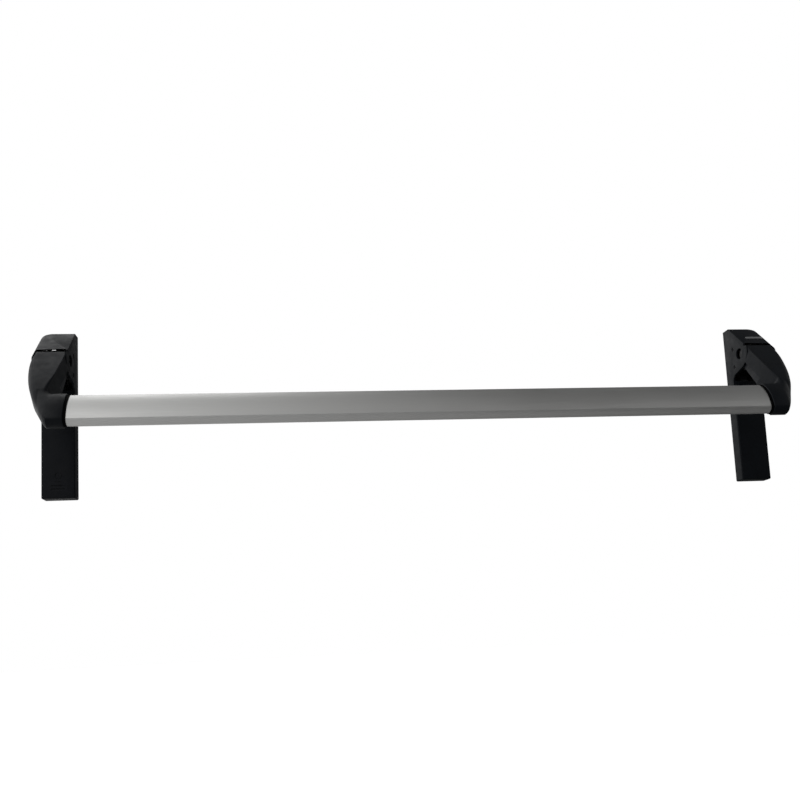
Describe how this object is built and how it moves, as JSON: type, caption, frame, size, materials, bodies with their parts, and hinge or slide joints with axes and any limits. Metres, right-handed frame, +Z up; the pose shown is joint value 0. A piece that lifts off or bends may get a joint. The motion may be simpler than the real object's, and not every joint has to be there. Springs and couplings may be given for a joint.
{
  "type": "panic exit bar",
  "caption": "Push bar between two lever units that are screwed to an escape door: pressing the bar swings its arms and turns a square lock spindle.",
  "frame": {"origin": "axis of the square lock spindle on the door face, behind the left (active) unit", "axes": "+X along the bar towards the right unit, +Y into the door, +Z up; the device stands at negative y"},
  "size_m": [0.956, 0.1803, 0.2115],
  "materials": {
    "bar_aluminium": "satin anodised, fine lengthwise grain",
    "black_shell": "fine-textured black",
    "black_arm": "fine-textured black",
    "seam_black": "matt black",
    "badge_satin": "satin",
    "black_screw": "blackened",
    "plain_screw": "zinc plated",
    "pin_steel": "turned, browned",
    "spring_steel": "spring steel",
    "zinc_plate": "pressed sheet, black zinc plating",
    "lever_steel": "zinc plated",
    "follower_steel": "sintered steel, oiled",
    "spindle_steel": "cold drawn",
    "bronze": "sintered bronze",
    "stop_rubber": "matt",
    "plug_nylon": "moulded nylon"
  },
  "bodies": {
    "housings": {"left_base_plate": "zinc_plate", "right_base_plate": "zinc_plate", "left_pivot_frame": "zinc_plate", "right_pivot_frame": "zinc_plate", "left_pivot_pin": "pin_steel", "right_pivot_pin": "pin_steel", "left_pin_clip": "spring_steel", "right_pin_clip": "spring_steel", "left_stop_rod": "pin_steel", "right_stop_rod": "pin_steel", "left_stop_sleeve": "stop_rubber", "right_stop_sleeve": "stop_rubber", "left_hood": "black_shell", "right_hood": "black_shell", "left_cheek_screws": "black_screw", "right_cheek_screws": "black_screw", "left_lower_cover": "black_shell", "right_lower_cover": "black_shell", "left_foot_screw": "black_screw", "right_foot_screw": "black_screw", "left_guide_studs": "pin_steel", "right_guide_studs": "pin_steel", "left_return_spring": "spring_steel", "right_return_spring": "spring_steel", "right_badge": "badge_satin", "follower_bridge": "zinc_plate", "bridge_rivets": "pin_steel"},
    "push_bar": {"left_arm_core": "lever_steel", "right_arm_core": "lever_steel", "left_arm_shell": "black_arm", "right_arm_shell": "black_arm", "left_shell_screws": "plain_screw", "right_shell_screws": "plain_screw", "left_pivot_bushes": "bronze", "right_pivot_bushes": "bronze", "left_seam_ring": "seam_black", "right_seam_ring": "seam_black", "left_bar_plug": "plug_nylon", "right_bar_plug": "plug_nylon", "left_bar_screw": "plain_screw", "right_bar_screw": "plain_screw", "bar_tube": "bar_aluminium"},
    "left_slide": {"left_slide": "zinc_plate"},
    "right_slide": {"right_slide": "zinc_plate"},
    "follower": {"follower": "follower_steel", "spindle": "spindle_steel"}
  },
  "joints": [
    {"name": "push_bar_swing", "type": "hinge", "parent": "housings", "child": "push_bar", "pos_m": [0, -0.0375, 0.106], "axis": [1, 0, 0], "range_deg": [0, 22], "stiffness_Nm_per_rad": 4, "springref_deg": -57.3},
    {"name": "left_slide_travel", "type": "slide", "parent": "housings", "child": "left_slide", "axis": [0, 0, 1], "range_m": [0, 0.0087], "deforming": ["left_return_spring"]},
    {"name": "right_slide_travel", "type": "slide", "parent": "housings", "child": "right_slide", "axis": [0, 0, 1], "range_m": [0, 0.0087], "deforming": ["right_return_spring"]},
    {"name": "follower_turn", "type": "hinge", "parent": "housings", "child": "follower", "pos_m": [0, 0, 0], "axis": [0, 1, 0], "range_deg": [0, 47.5]}
  ],
  "couplings": [
    {"joint": "left_slide_travel", "follows": "push_bar_swing", "m_per_rad": 0.0225},
    {"joint": "right_slide_travel", "follows": "push_bar_swing", "m_per_rad": 0.0225},
    {"joint": "follower_turn", "follows": "push_bar_swing", "ratio": 2.1429}
  ]
}
